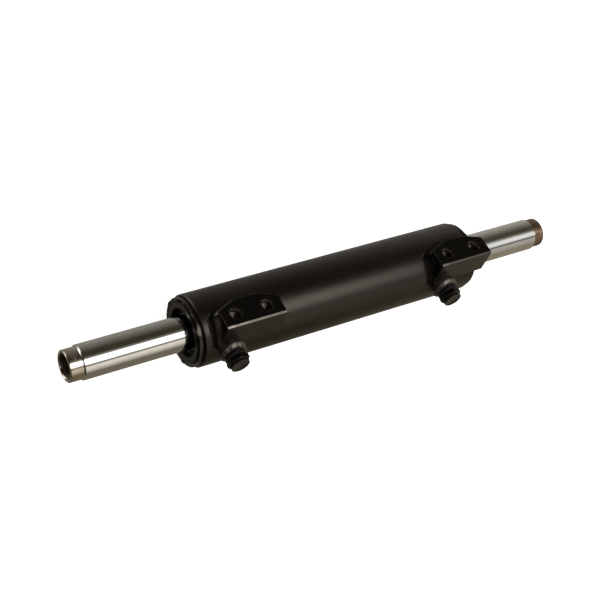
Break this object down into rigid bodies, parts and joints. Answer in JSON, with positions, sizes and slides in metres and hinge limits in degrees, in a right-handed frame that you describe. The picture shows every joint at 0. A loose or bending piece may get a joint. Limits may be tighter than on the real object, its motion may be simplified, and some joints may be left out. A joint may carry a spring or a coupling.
{
  "type": "double-rod hydraulic steering cylinder",
  "caption": "Double-acting hydraulic cylinder with one rod through both ends, a black barrel with saddle mounting pads and side oil ports, and tapped rod ends.",
  "frame": {"origin": "middle of the barrel's length, on the rod's axis, which is within 3 mm of the centroid", "axes": "+X along the rod, +Z out of the mounting pads' flat tops, the oil ports point to -Y"},
  "size_m": [0.667, 0.1037, 0.0935],
  "materials": {
    "black_paint": "satin",
    "gland_steel": "satin",
    "plug_steel": "satin",
    "hard_chrome": "polished",
    "piston_iron": "machined",
    "bronze": "machined",
    "spring_steel": "oiled",
    "rubber": "matte",
    "polyurethane": "satin",
    "ptfe": "matte"
  },
  "bodies": {
    "barrel": {"barrel_tube": "black_paint", "left_mounting_pad": "black_paint", "left_pad_weld": "black_paint", "left_port_boss": "black_paint", "left_port_weld": "black_paint", "right_mounting_pad": "black_paint", "right_pad_weld": "black_paint", "right_port_boss": "black_paint", "right_port_weld": "black_paint", "left_gland": "gland_steel", "left_lock_ring": "gland_steel", "left_port_plug": "plug_steel", "left_plug_seal": "rubber", "left_rod_bushing": "bronze", "left_rod_seal": "polyurethane", "left_rod_wiper": "polyurethane", "left_gland_oring": "rubber", "left_gland_backup_ring": "ptfe", "right_gland": "gland_steel", "right_lock_ring": "gland_steel", "right_port_plug": "plug_steel", "right_plug_seal": "rubber", "right_rod_bushing": "bronze", "right_rod_seal": "polyurethane", "right_rod_wiper": "polyurethane", "right_gland_oring": "rubber", "right_gland_backup_ring": "ptfe"},
    "piston_rings": {"piston_seal": "ptfe", "piston_seal_energizer": "rubber", "left_wear_ring": "ptfe", "right_wear_ring": "ptfe"},
    "rod": {"piston_rod": "hard_chrome", "piston": "piston_iron", "piston_bore_seal": "rubber", "left_piston_snap_ring": "spring_steel", "right_piston_snap_ring": "spring_steel"}
  },
  "joints": [
    {"name": "rod_slide", "type": "slide", "parent": "barrel", "child": "piston_rings", "axis": [1, 0, 0], "range_m": [-0.11, 0.116]},
    {"name": "rod_spin", "type": "hinge", "parent": "piston_rings", "child": "rod", "pos_m": [0, 0, 0], "axis": [1, 0, 0], "continuous": true}
  ]
}
